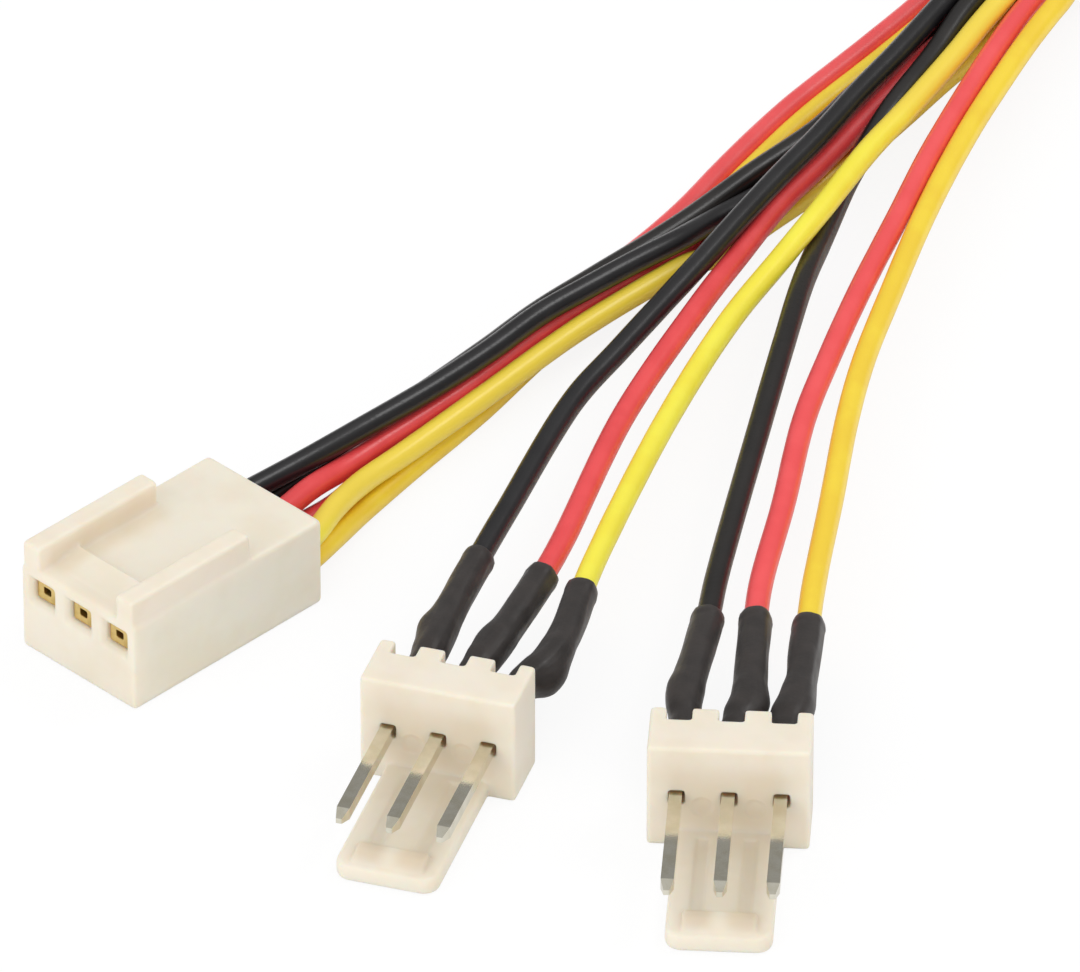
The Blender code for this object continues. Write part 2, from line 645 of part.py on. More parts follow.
def tube(name, points, width, kind, smoothness=2):
    """A closed round tube along the points, as a curve object."""
    curve = bpy.data.curves.new(name, "CURVE")
    curve.dimensions = "3D"
    curve.bevel_depth = width / 2
    curve.bevel_resolution = smoothness
    curve.use_fill_caps = True
    line = curve.splines.new("POLY")
    line.points.add(len(points) - 1)
    for target, point in zip(line.points, points):
        target.co = (*point, 1.0)
    made = bpy.data.objects.new(name, curve)
    bpy.context.scene.collection.objects.link(made)
    own_material(made, kind)


def shell(name, stations, kind, sides=SLEEVE_SIDES):
    """A sleeve with an open bore; each station is (centre, heading, outer radius, bore radius)."""
    work = bmesh.new()
    outer, inner = [], []
    side = stations[0][1].cross(Vector((0.0, 0.0, 1.0))).normalized()
    for centre, heading, radius, bore in stations:
        side = (side - heading * side.dot(heading)).normalized()
        up = heading.cross(side)
        for rings, size in ((outer, radius), (inner, bore)):
            ring = []
            for i in range(sides):
                turn = 2 * math.pi * i / sides
                ring.append(work.verts.new(centre + (side * math.cos(turn) + up * math.sin(turn)) * size))
            rings.append(ring)
    for i in range(sides):
        j = (i + 1) % sides
        for near, far in zip(outer, outer[1:]):
            work.faces.new((near[i], near[j], far[j], far[i]))
        for near, far in zip(inner, inner[1:]):
            work.faces.new((near[j], near[i], far[i], far[j]))
        work.faces.new((outer[0][j], outer[0][i], inner[0][i], inner[0][j]))
        work.faces.new((outer[-1][i], outer[-1][j], inner[-1][j], inner[-1][i]))
    made = piece_of(name, work, kind)
    made.data.shade_smooth()
    made.data.set_sharp_from_angle(angle=SHARP)


def stations_along(line, width_at, bore):
    """Each point with its heading; width_at gives the width at a distance along the line."""
    stations, walked = [], 0.0
    for i, centre in enumerate(line):
        before, after = line[max(i - 1, 0)], line[min(i + 1, len(line) - 1)]
        walked += (centre - before).length
        stations.append((centre, (after - before).normalized(), width_at(walked) / 2, bore / 2))
    return stations


def with_marks(line, marks):
    """The polyline with a further point at each of these distances along it."""
    total = path_length(line)
    ends = [0.0, *marks, total]
    found = [line[0]]
    for start, end in zip(ends, ends[1:]):
        found += stretch_of(line, start, end)[1:]
    return found


def sleeve(name, back):
    """The shrunk sleeve: a neck over the pin, a shoulder, and a rounded end round the wire."""
    length = SLEEVE_LENGTHS[name]
    covered = stretch_of(back, SLEEVE_IN, length)
    total = path_length(covered)
    rows = (
        (0.0, SLEEVE_NECK), (NECK_LENGTH, SLEEVE_NECK), (NECK_LENGTH + SHOULDER, SLEEVE),
        (total - END_ROUND, SLEEVE), (total, SLEEVE_WAIST),
    )

    def width_at(along):
        for (start, first), (end, last) in zip(rows, rows[1:]):
            if along <= end:
                return first + (last - first) * (along - start) / (end - start)
        return SLEEVE_WAIST

    line = with_marks(covered, [along for along, _ in rows[1:-1]])
    shell(f"shrink_sleeve_{name}", stations_along(line, width_at, SLEEVE_BORE), "shrink")


def wire_set(name):
    """One insulated wire, its two bare ends, its solder joint and its sleeve."""
    colour, label = name.rsplit("_", 1)
    path = wire_path(name)
    total = path_length(path)
    tube(f"wire_{name}", stretch_of(path, 0.0, total - INSULATED_FROM), WIRE, colour)
    back = path[::-1]
    tube(f"core_{name}_pin_end", stretch_of(back, BARE_FROM, INSULATED_FROM - CLEAR), CORE, "copper", 1)
    start = path[0]
    crimped = -SOCKET_LENGTH / 2 + CORE_CRIMP_FROM
    ends = [Vector((start.x, crimped, start.z)), Vector((start.x, start.y - CLEAR, start.z))]
    tube(f"core_{name}_crimp_end", ends, CORE, "copper", 1)
    joint = stretch_of(back, BARE_FROM - SOLDER_LENGTH, BARE_FROM + SOLDER_LENGTH / 2)
    bore = PIN_SIDE * math.sqrt(2) + CLEAR
    shell(f"solder_{name}", stations_along(joint, lambda along: SOLDER, bore), "tin")
    sleeve(name, back)


def main():
    for old in list(bpy.data.objects):
        bpy.data.objects.remove(old)
    socket_housing()
    for colour, place in WAYS:
        terminal(colour, place)
    for label in HEADERS:
        header_body(label)
        for colour, place in WAYS:
            pin(colour, place, label)
    for name in ROUTES:
        wire_set(name)


main()
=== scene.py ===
import math

import bmesh
import bpy
from mathutils import Matrix, Vector, noise

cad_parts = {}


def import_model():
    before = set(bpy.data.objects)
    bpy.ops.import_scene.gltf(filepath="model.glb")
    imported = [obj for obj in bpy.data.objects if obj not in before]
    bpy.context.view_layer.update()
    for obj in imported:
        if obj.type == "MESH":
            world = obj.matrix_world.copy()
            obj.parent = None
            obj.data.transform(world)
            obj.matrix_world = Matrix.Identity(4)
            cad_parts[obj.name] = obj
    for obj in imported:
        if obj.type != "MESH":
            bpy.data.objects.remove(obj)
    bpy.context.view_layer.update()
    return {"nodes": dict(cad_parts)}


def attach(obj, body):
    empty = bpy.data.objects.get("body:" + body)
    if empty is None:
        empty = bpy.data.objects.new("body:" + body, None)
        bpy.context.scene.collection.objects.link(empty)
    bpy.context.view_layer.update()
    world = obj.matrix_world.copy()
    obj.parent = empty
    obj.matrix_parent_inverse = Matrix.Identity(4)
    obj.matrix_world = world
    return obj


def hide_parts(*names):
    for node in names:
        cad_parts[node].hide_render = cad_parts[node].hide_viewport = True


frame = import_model()
nodes = frame["nodes"]

BODY = "root"
MM = 0.001
WAYS = (("black", -1), ("red", 0), ("yellow", 1))  # colour, place across the connector
PITCH = 2.54 * MM
CLEAR = 0.03 * MM  # the gap round a fitted piece
LAP = 0.3 * MM  # how far a joined or cutting shape runs past the face it meets

# Socket housing, its lengths counted from the mating face
SOCKET_WIDTH = 7.95 * MM
SOCKET_LENGTH = 12.9 * MM
SOCKET_HEIGHT = 4.95 * MM
RIB_WIDTH = 1.15 * MM
RIB_HEIGHT = 1.4 * MM
RIB_LENGTH = 8.15 * MM
RIB_INSET = 0.15 * MM
RAMP_FROM = 1.0 * MM
RAMP_LENGTH = 1.7 * MM
RAMP_HEIGHT = 0.4 * MM
MOUTH_Z = 3.65 * MM
MOUTH_WIDTH = 1.45 * MM
MOUTH_HEIGHT = 1.2 * MM
MOUTH_FLARE = 0.25 * MM
MOUTH_WALL = 0.9 * MM
CONTACT_WIDTH = 1.4 * MM
CONTACT_HEIGHT = 1.15 * MM
CONTACT_HOLE = 0.5 * MM
CONTACT_SILL = 0.1 * MM  # raises the floor of the hole
CONTACT_FROM = 0.4 * MM
CONTACT_LAP = 0.1 * MM
CAVITY_WIDTH = 2.04 * MM
CAVITY_FLOOR = 0.7 * MM
CAVITY_TOP = 4.33 * MM
WINDOW_LENGTH = 1.5 * MM
WINDOW_WIDTH = 1.15 * MM
WINDOW_FROM = 4.3 * MM
STRIP = 0.2 * MM  # thickness of a terminal's metal
GRIP_FROM = 8.9 * MM

# Pin header
HEADER_WIDTH = 7.9 * MM
HEADER_DEPTH = 2.45 * MM
HEADER_HEIGHT = 5.8 * MM
STANDOFF = 1.0 * MM
CHANNEL_WIDTH = 1.25 * MM
PIN_Z = 2.85 * MM
PIN_SIDE = 0.64 * MM
TAB_WIDTH = 5.2 * MM
TAB_LENGTH = 8.5 * MM
TAB_HEIGHT = 0.95 * MM
TAB_CORNER = 0.8 * MM
CORNER_STEPS = 8
LIP_LENGTH = 1.5 * MM
LIP_HEIGHT = 0.3 * MM
LIP_SLOPE = 0.9 * MM
LIP_INSET = 0.3 * MM
GROOVE_WIDTH = 0.75 * MM
GROOVE_APART = 2.3 * MM
GROOVE_FROM = 0.5 * MM
GROOVE_TO_LIP = 0.3 * MM
GROOVE_SHOWN = 0.1 * MM  # how deep the two grooves look
EJECTOR = 1.1 * MM
EJECTOR_DEPTH = 0.06 * MM
EJECTOR_Z = 2.35 * MM
EJECTOR_SIDES = 32
PIN_GAP = 0.09 * MM  # shows above and to the right of each pin at the front face
PIN_GAP_DEPTH = 0.45 * MM

# Rounding of the mouldings: bevels, then a grid's spacing with its smoothing steps
BEVEL_STEPS = 3
BEVEL_FROM_DEGREES = 40
SOCKET_ROUND = 0.2 * MM
RIB_ROUND = 0.14 * MM
HEADER_ROUND = 0.16 * MM
TAB_ROUND = 0.2 * MM
LIP_ROUND = 0.08 * MM
CONTACT_ROUND = 0.1 * MM
SOCKET_GRID = (0.1 * MM, 5)
HEADER_GRID = (0.075 * MM, 6)
CONTACT_GRID = (0.04 * MM, 3)
SMOOTHED_BY = 0.5
FACES_KEPT = 0.5

# Wire and shrink sleeves
WIRE = 1.2 * MM
GRIPPED_SPARE = 0.2 * MM
STRAIGHT_IN = 0.5 * MM
STRAIGHT_OUT = 2.4 * MM
FINE = 0.1 * MM
WIRE_STEP = 0.5 * MM
WIRE_ROUNDNESS = 7  # segments in each quarter of its outline
WIRE_UNEVEN = 0.012  # share of its thickness
WIRE_UNEVEN_OVER = 2.0 * MM
INSULATED_FROM = 3.5 * MM  # its insulation ends this far from the header
SLEEVE_BORE = 1.27 * MM
SLEEVE_IN = 0.1 * MM
SLEEVE_SIDES = 56
SLEEVE_STEP = 0.1 * MM
SLEEVE_SHARP_DEGREES = 50

# A sleeve's outer radius, by the distance from its header and then from its open end, in
# millimetres
SLEEVE_RADII = ((0.0, 0.73), (1.5, 0.74), (2.5, 0.79), (3.5, 0.89), (5.2, 0.89), (6.4, 0.835))
SLEEVE_END_RADII = ((0.8, 0.815), (0.4, 0.84), (0.1, 0.81), (0.0, 0.73))

# Uneven surface of a sleeve: share of its radius, how often round it, and over what length
LUMPS = (0.07, 1.6, 3.0 * MM)
WRINKLES = (0.025, 5.0, 1.6 * MM)
SEED_STEP = 1.7

# Where a sleeve bulges over its joint or draws in beside it, in millimetres: how far from the
# header; the way it goes, as shares of RIGHT and RISE in the camera's view; how much; and over
# what length
RIGHT = Vector((0.7116, 0.7026, 0.0))
RISE = Vector((-0.4075, 0.4127, 0.8146))
BULGES = {
    "black_a": ((5.2, -1.0, 0.0, 0.24, 1.0),),
    "red_a": ((4.9, -1.0, 0.0, 0.2, 1.1),),
    "yellow_a": ((3.4, 0.7, -0.7, 0.5, 1.2),),
    "black_b": ((5.2, -1.0, 0.0, 0.12, 1.0), (2.8, -1.0, 0.0, -0.15, 0.9)),
    "red_b": ((4.2, 1.0, 0.0, 0.3, 1.1), (2.6, -1.0, 0.0, -0.1, 0.8)),
    "yellow_b": (
        (3.6, -1.0, 0.0, 0.16, 1.0), (4.2, 1.0, 0.0, 0.16, 1.0), (6.8, -1.0, 0.0, -0.12, 1.2),
    ),
}

# Where the middle of each header's front face stands, its turn, and its sleeves
HEADERS = {"a": (18.92 * MM, -0.54 * MM), "b": (32.3 * MM, 5.91 * MM)}
HEADER_TURN_DEGREES = {"a": 27.2, "b": 40.9}
SLEEVE_LENGTHS = {
    "black_a": 11.7 * MM, "red_a": 11.3 * MM, "yellow_a": 10.8 * MM,
    "black_b": 11.6 * MM, "red_b": 11.65 * MM, "yellow_b": 11.3 * MM,
}

# The fold out of the picture, in millimetres, from the socket's leg round to the headers' leg
LOOP = (
    (-9.8, 70.0), (-11.7, 75.0), (-14.2, 80.0), (-16.5, 85.0), (-17.4, 90.5), (-15.6, 96.0),
    (-10.8, 99.5), (-5.2, 98.4), (-2.0, 94.0), (-1.9, 88.5), (-3.7, 83.0), (-6.0, 78.0),
    (-8.0, 73.0),
)

# Each wire's own route in millimetres: from its terminal; its lane round the fold as place
# along LOOP, lanes out from LOOP and height; and on to its pin
LANE_APART = 1.28 * MM
ROUTES = {
    "black_a": {
        "level": 1,
        "out": (
            (-2.3, 11.8, 2.85), (-2.0, 16.0, 3.1), (-2.0, 20.0, 3.1), (-2.25, 24.3, 3.1),
            (-2.7, 28.5, 3.1), (-2.65, 32.0, 3.1), (-2.6, 35.0, 3.05), (-2.7, 38.2, 2.75),
            (-3.3, 41.4, 2.1), (-3.65, 45.0, 1.62), (-4.05, 48.0, 1.25), (-5.5, 54.4, 0.63),
            (-6.45, 60.5, 0.63), (-7.4, 65.5, 0.63),
        ),
        "lane": (
            (0, -1.0, 0.63), (5, -1.05, 0.63), (6, -1.45, 0.63), (7, -1.85, 0.63),
            (8, -2.0, 0.63), (10, -2.0, 0.65), (11, -2.0, 1.4), (12, -2.2, 3.05),
        ),
        "back": (
            (-8.6, 66.4, 3.1), (-7.8, 63.6, 3.1), (-6.15, 58.1, 3.1), (-5.1, 54.2, 3.1),
            (-3.7, 49.7, 3.15), (-2.6, 45.7, 3.2), (-1.4, 41.6, 3.2), (-0.2, 37.5, 3.1),
            (2.1, 29.3, 2.9), (3.5, 24.6, 2.85), (7.8, 15.5, 2.85), (9.4, 12.2, 2.85),
            (12.2, 6.7, 2.85),
        ),
    },
    "red_a": {
        "level": 1,
        "out": (
            (-0.8, 10.4, 2.5), (-1.38, 13.0, 1.97), (-1.7, 16.5, 1.86), (-2.05, 22.3, 1.86),
            (-2.85, 28.9, 1.86), (-2.97, 33.0, 1.86), (-3.05, 36.5, 1.5), (-3.15, 38.2, 1.05),
            (-3.6, 41.3, 0.63), (-4.55, 45.0, 0.63), (-6.0, 50.4, 0.63), (-6.93, 55.5, 0.63),
            (-7.7, 60.5, 0.63), (-8.64, 65.5, 0.63),
        ),
        "lane": (
            (0, 0.0, 0.63), (5, 0.0, 0.63), (6, -0.3, 0.63), (7, -0.75, 0.63),
            (8, -1.0, 0.63), (10, -1.05, 0.63), (11, -1.0, 1.2), (12, -0.75, 1.94),
        ),
        "back": (
            (-7.1, 65.5, 1.84), (-6.2, 60.5, 1.82), (-4.6, 54.4, 1.83), (-3.2, 49.3, 1.85),
            (-2.0, 45.1, 2.05), (-0.15, 40.3, 2.25), (2.1, 35.1, 2.8), (6.2, 25.4, 2.85),
            (11.5, 15.7, 2.85), (12.7, 13.3, 2.85), (15.2, 7.5, 2.85),
        ),
    },
    "yellow_a": {
        "level": 1,
        "out": (
            (1.35, 10.0, 2.65), (0.3, 13.0, 2.15), (-0.2, 16.3, 1.9), (-0.88, 22.7, 1.87),
            (-1.53, 28.7, 1.87), (-1.72, 31.5, 1.86), (-1.8, 36.0, 1.85), (-2.0, 38.2, 1.6),
            (-2.35, 41.3, 0.7), (-2.7, 45.0, 0.63), (-2.95, 48.0, 0.63), (-3.95, 54.4, 0.63),
            (-5.2, 60.5, 0.63), (-6.16, 65.5, 0.63),
        ),
        "lane": (
            (0, -2.0, 0.63), (4, -2.0, 0.63), (5, -1.9, 1.6), (6, -1.35, 2.0),
            (7, -0.75, 1.95), (8, -0.1, 1.35), (9, 0.0, 0.63), (10, 0.0, 0.65),
            (11, 0.0, 1.4), (12, 0.05, 2.8),
        ),
        "back": (
            (-6.1, 66.8, 3.18), (-5.7, 65.5, 3.15), (-4.9, 63.0, 3.15), (-3.85, 60.0, 3.15),
            (-2.1, 54.4, 3.15), (-1.1, 50.8, 3.12), (1.0, 44.9, 3.12), (2.4, 40.6, 3.0),
            (4.2, 35.1, 2.85), (8.0, 26.6, 2.85), (13.7, 15.8, 2.85), (15.6, 12.6, 2.85),
            (17.2, 10.0, 2.85), (18.3, 7.6, 2.85),
        ),
    },
    "black_b": {
        "level": 0,
        "out": (
            (-2.75, 11.5, 1.5), (-3.1, 16.0, 1.6), (-3.35, 21.5, 1.8), (-3.68, 25.8, 1.87),
            (-4.13, 29.7, 1.87), (-4.26, 34.0, 1.87), (-4.35, 38.5, 1.87), (-4.53, 41.5, 1.87),
            (-5.02, 46.1, 1.87), (-5.45, 51.5, 1.87), (-6.15, 54.6, 1.87), (-7.4, 60.5, 1.85),
            (-8.4, 65.5, 1.86),
        ),
        "lane": (
            (0, 0.0, 1.87), (4, -0.5, 1.76), (5, 0.0, 1.88), (6, 0.5, 1.8), (7, 0.7, 1.88),
            (8, 1.0, 1.9), (9, 0.5, 1.84), (10, -0.5, 1.87), (11, -0.8, 2.45), (12, -1.05, 3.2),
        ),
        "back": (
            (-7.15, 65.9, 3.08), (-6.4, 63.3, 3.0), (-5.2, 60.0, 2.7), (-3.3, 54.6, 2.6),
            (-2.0, 51.0, 1.95), (-1.0, 48.9, 1.86), (1.3, 44.9, 1.84), (4.15, 40.4, 2.5),
            (7.6, 35.4, 2.85), (11.3, 30.0, 2.85), (19.2, 18.6, 2.85), (21.3, 15.8, 2.85),
            (25.1, 10.3, 2.85),
        ),
    },
    "red_b": {
        "level": 0,
        "out": (
            (-0.4, 11.5, 1.0), (-1.6, 16.0, 0.63), (-3.1, 23.0, 0.63), (-4.35, 30.0, 0.63),
            (-5.25, 35.3, 0.63), (-5.68, 38.8, 0.63), (-6.4, 42.5, 0.63), (-7.85, 47.8, 0.63),
            (-9.05, 53.0, 0.63), (-9.82, 58.0, 0.63), (-10.2, 60.5, 0.63), (-11.1, 65.5, 0.63),
        ),
        "lane": (
            (0, 2.0, 0.63), (1, 1.95, 1.2), (2, 1.6, 1.92), (3, 1.2, 1.7), (4, 1.0, 0.63),
            (10, 1.0, 0.65), (11, 1.0, 1.4), (12, 1.15, 2.35),
        ),
        "back": (
            (-4.82, 66.6, 2.7), (-3.54, 63.4, 2.85), (-2.2, 60.2, 2.85), (1.2, 52.8, 2.85),
            (3.8, 47.8, 2.85), (7.0, 41.6, 2.85), (10.0, 36.2, 2.85), (12.8, 31.5, 2.85),
            (17.2, 25.4, 2.85), (21.3, 19.5, 2.85), (24.6, 15.6, 2.85), (27.3, 12.4, 2.85),
        ),
    },
    "yellow_b": {
        "level": 0,
        "out": (
            (1.9, 9.2, 1.35), (0.8, 12.2, 0.85), (-0.15, 16.0, 0.63), (-1.4, 23.0, 0.63),
            (-2.35, 27.0, 0.63), (-3.45, 32.2, 0.63), (-4.0, 35.3, 0.63), (-4.4, 38.5, 0.63),
            (-5.15, 42.5, 0.63), (-6.58, 47.8, 0.63), (-7.8, 53.0, 0.63), (-8.57, 58.0, 0.63),
            (-8.95, 60.5, 0.63), (-9.87, 65.5, 0.63),
        ),
        "lane": (
            (0, 1.0, 0.63), (1, 1.0, 0.63), (2, 1.4, 0.63), (3, 2.0, 0.63),
            (10, 2.0, 0.65), (11, 2.05, 1.4), (12, 2.3, 2.3),
        ),
        "back": (
            (-3.63, 67.5, 2.85), (-2.55, 64.4, 2.85), (-1.0, 60.6, 2.85), (1.2, 55.6, 2.85),
            (4.5, 49.1, 2.85), (8.4, 42.3, 2.85), (11.5, 37.1, 2.85), (14.4, 32.9, 2.85),
            (18.6, 27.4, 2.85), (23.2, 21.3, 2.85), (26.4, 17.4, 2.85), (29.0, 14.1, 2.85),
        ),
    },
}

# Colours: each wire has a plain one and a deeper one. One wire has a golden tint too, painted
# shade on its leg to the socket housing; the tint ends at a slanting, soft-edged line between its
# two legs
CREAM = (0.87, 0.80, 0.68)
CREAM_DEEP = (0.83, 0.75, 0.61)
# Tan painted on the mouldings as shade
PAINTED_SHADE_TAN = (0.66, 0.48, 0.28)
SLEEVE_COLOURS = ((0.017, 0.012, 0.01), (0.028, 0.02, 0.017))
WIRE_COLOURS = {
    "black_a": ((0.014, 0.013, 0.014), (0.01, 0.009, 0.01)),
    "red_a": ((0.88, 0.075, 0.08), (0.82, 0.06, 0.065)),
    "yellow_a": ((0.97, 0.88, 0.06), (0.95, 0.82, 0.045), (0.93, 0.7, 0.06)),
    "black_b": ((0.017, 0.014, 0.012), (0.012, 0.01, 0.009)),
    "red_b": ((0.94, 0.095, 0.1), (0.9, 0.08, 0.085)),
    "yellow_b": ((0.96, 0.7, 0.035), (0.93, 0.64, 0.03)),
}
LEG_SLANT = 0.095
LEG_LINE = (2.9 * MM, 4.2 * MM)

# Metal finishes by the first word of a piece's name: the finish, its colour and its deeper one,
# its roughness, and how much rougher it gets in places
METALS = {
    "pin": ("tin", (0.8, 0.77, 0.66), (0.72, 0.68, 0.55), 0.07, 0.05),
    "terminal": ("brass", (0.8, 0.6, 0.24), (0.62, 0.44, 0.15), 0.34, 0.1),
    "solder": ("solder", (0.7, 0.7, 0.7), (0.6, 0.6, 0.6), 0.25, 0.1),
    "core": ("copper", (0.78, 0.42, 0.24), (0.65, 0.3, 0.15), 0.3, 0.1),
}

# Surfaces: the size of their unevenness, and their least and greatest roughness
NYLON_CLOUDS = 3.2 * MM
NYLON_GRAIN = 0.09 * MM
NYLON_ROUGHNESS = (0.36, 0.5)
NYLON_DEPTH = 0.9 * MM  # how far light spreads inside it
WIRE_CLOUDS = 2.4 * MM
WIRE_SPECKS = 0.16 * MM
WIRE_LUMPS = 0.9 * MM
WIRE_ROUGHNESS = (0.32, 0.54)
SLEEVE_CLOUDS = 1.3 * MM
SLEEVE_GRAIN = 0.12 * MM
SLEEVE_ROUGHNESS = (0.34, 0.52)
METAL_CLOUDS = 0.8 * MM
METAL_GRAIN = 0.07 * MM
PLASTIC_IOR = 1.5

# Noise between these values goes from none to all of a change
BROAD = (0.3, 0.7)
PATCHY = (0.35, 0.7)
EVEN = (0.35, 0.65)
SPARSE = (0.55, 0.78)

# Sockets of the mixing node when it mixes colours
MIX_SHARE, MIX_FIRST, MIX_SECOND, MIX_RESULT = 0, 6, 7, 2

# Camera, in degrees and metres; it looks at TARGET on the floor
CAMERA_AZIMUTH = 44.63
CAMERA_ELEVATION = 35.44
CAMERA_DISTANCE = 0.8
CAMERA_LENS = 535.3
SENSOR = 36.0
TARGET = Vector((4.69, 20.97, 0.0)) * MM

# Light: directions point from the middle of the object to each lamp
MIDDLE = Vector((5.0, 25.0, 0.0)) * MM
AMBIENT = 0.84
GLOSS_AT_HORIZON = 0.22
GLOSS_OVERHEAD = 0.6
GLOSS_RISES = (0.4, 0.95)  # between these heights of the sky, where 1 is overhead
LAMPS = {
    "key": {"towards": (0.21, 0.58, 0.79), "distance": 0.9, "size": 0.3, "power": 1.1},
    "front": {"towards": (-0.05, -0.9, 0.45), "distance": 1.0, "size": 0.8, "power": 2.3},
    "side": {"towards": (0.85, -0.3, 0.4), "distance": 1.0, "size": 0.8, "power": 0.8},
}
FLOOR_SIZE = 3.0
FLOOR_Z = -0.02 * MM
FLOOR_SEEN = 0.86  # share of the floor that the camera sees as plain white
FLOOR_WHITE = 1.03
FLOOR_GREY = 0.85


# Paths, as in the part's own source


def path_length(points):
    return sum((b - a).length for a, b in zip(points, points[1:]))


def spline(points):
    """Closely spaced points on the smooth curve through the given ones."""
    ends = [2 * points[0] - points[1], *points, 2 * points[-1] - points[-2]]
    found = []
    for before, start, end, after in zip(ends, ends[1:], ends[2:], ends[3:]):
        pairs = ((before, start), (start, end), (end, after))
        gaps = [max((b - a).length, 1e-9) ** 0.5 for a, b in pairs]
        first = gaps[1] * ((start - before) / gaps[0] - (end - before) / (gaps[0] + gaps[1])
                           + (end - start) / gaps[1])
        last = gaps[1] * ((end - start) / gaps[1] - (after - start) / (gaps[1] + gaps[2])
                          + (after - end) / gaps[2])
        count = max(2, round((end - start).length / FINE))
        for step in range(count):
            t = step / count
            found.append(start * (2 * t**3 - 3 * t**2 + 1) + first * (t**3 - 2 * t**2 + t)
                         + end * (3 * t**2 - 2 * t**3) + last * (t**3 - t**2))
    return [*found, points[-1]]


def spaced(points, step):
    """Evenly spaced points along a fine polyline, its two ends included."""
    total = path_length(points)
    count = max(1, round(total / step))
    found, walked, wanted = [points[0]], 0.0, total / count
    for a, b in zip(points, points[1:]):
        stretch = (b - a).length
        while walked + stretch >= wanted and len(found) < count:
            found.append(a.lerp(b, (wanted - walked) / stretch))
            wanted += total / count
        walked += stretch
    return [*found, points[-1]]


def stretch_of(points, start, end):
    """The part of a polyline between two distances along it, corners kept."""
    found, walked = [], 0.0
    for a, b in zip(points, points[1:]):
        length = (b - a).length
        if walked + length > start and walked < end:
            if not found:
                found.append(a.lerp(b, max(0.0, (start - walked) / length)))
            if walked + length < end:
                found.append(b.copy())
            else:
                found.append(a.lerp(b, (end - walked) / length))
        walked += length
    return found


def lane_points(lane):
    """The wire's points round the fold, at its distance out from LOOP and its height."""
    points = []
    for i, (x, y) in enumerate(LOOP):
        before, after = LOOP[max(i - 1, 0)], LOOP[min(i + 1, len(LOOP) - 1)]
        heading = Vector((after[0] - before[0], after[1] - before[1])).normalized()
        start = max((key for key in lane if key[0] <= i), key=lambda key: key[0])
        end = min((key for key in lane if key[0] >= i), key=lambda key: key[0])
        share = (i - start[0]) / (end[0] - start[0]) if end[0] > start[0] else 0.0
        out = LANE_APART * (start[1] + share * (end[1] - start[1]))
        height = start[2] + share * (end[2] - start[2])
        points.append(Vector((x, y, height)) * MM + Vector((-heading.y, heading.x, 0.0)) * out)
    return points


def header_place(label):
    turn = math.radians(HEADER_TURN_DEGREES[label])
    return Matrix.Translation((*HEADERS[label], 0.0)) @ Matrix.Rotation(turn, 4, "Z")


def wire_height(level):
    """The lower wire of a terminal is at level 0, the upper one at level 1."""
    low = CAVITY_FLOOR + STRIP + 2 * CLEAR + WIRE / 2
    return low + level * (WIRE + CLEAR)


def wire_path(name):
    """The centre line from the grip in the housing to the header's back face."""
    colour, label = name.rsplit("_", 1)
    route = ROUTES[name]
    place = dict(WAYS)[colour]
    height = wire_height(route["level"])
    front = -SOCKET_LENGTH / 2
    leaving = (GRIP_FROM - GRIPPED_SPARE, SOCKET_LENGTH - STRAIGHT_IN, SOCKET_LENGTH + STRAIGHT_IN)
    points = [Vector((place * PITCH, front + along, height)) for along in leaving]
    points += [Vector(point) * MM for point in route["out"]]
    points += lane_points(route["lane"])
    points += [Vector(point) * MM for point in route["back"]]
    back = HEADER_DEPTH + STANDOFF
    points += [header_place(label) @ Vector((place * PITCH, back + more, PIN_Z))
               for more in (STRAIGHT_OUT, 0.0)]
    return spline(points)


# Materials


def node(tree, kind, inputs=None, **settings):
    """A shader node with its settings; an input is a value, or a socket to link from."""
    made = tree.nodes.new("ShaderNode" + kind)
    for key, value in settings.items():
        setattr(made, key, value)
    for key, value in (inputs or {}).items():
        if isinstance(value, bpy.types.NodeSocket):
            tree.links.new(value, made.inputs[key])
        else:
            made.inputs[key].default_value = value
    return made


def rgba(colour):
    return (*colour, 1.0)


def principled(name, inputs):
    """A material, its tree, its shader and the object's own coordinates."""
    made = bpy.data.materials.new(name)
    made.use_nodes = True
    tree = made.node_tree
    shader = tree.nodes["Principled BSDF"]
    for key, value in inputs.items():
        shader.inputs[key].default_value = value
    coords = node(tree, "TexCoord").outputs["Object"]
    return made, tree, shader, coords


def noise_at(tree, coords, size, detail=3.0):
    """Noise whose features are about size metres across."""
    inputs = {"Vector": coords, "Scale": 1.0 / size, "Detail": detail}
    return node(tree, "TexNoise", inputs).outputs["Fac"]


def remap(tree, value, low, high, to_low=0.0, to_high=1.0, smooth=True):
    """A value's range from low to high carried to another range, and held at its ends."""
    kind = "SMOOTHSTEP" if smooth else "LINEAR"
    inputs = {
        "Value": value, "From Min": low, "From Max": high, "To Min": to_low, "To Max": to_high,
    }
    return node(tree, "MapRange", inputs, interpolation_type=kind).outputs["Result"]


def mixed(tree, share, first, second):
    """Two colours mixed; each is a colour or a socket."""
    inputs = {MIX_SHARE: share}
    for key, value in ((MIX_FIRST, first), (MIX_SECOND, second)):
        inputs[key] = value if isinstance(value, bpy.types.NodeSocket) else rgba(value)
    return node(tree, "Mix", inputs, data_type="RGBA").outputs[MIX_RESULT]


def times(tree, first, *others):
    """A socket with the product of the given sockets and numbers."""
    made = first
    for value in others:
        made = node(tree, "Math", {0: made, 1: value}, operation="MULTIPLY").outputs[0]
    return made


def bumped(tree, shader, layers):
    """Chains bump layers of (height socket, strength, distance in metres) into the normal."""
    normal = None
    for height, strength, distance in layers:
        inputs = {"Height": height, "Strength": strength, "Distance": distance}
        if normal:
            inputs["Normal"] = normal
        normal = node(tree, "Bump", inputs).outputs["Normal"]
    tree.links.new(normal, shader.inputs["Normal"])


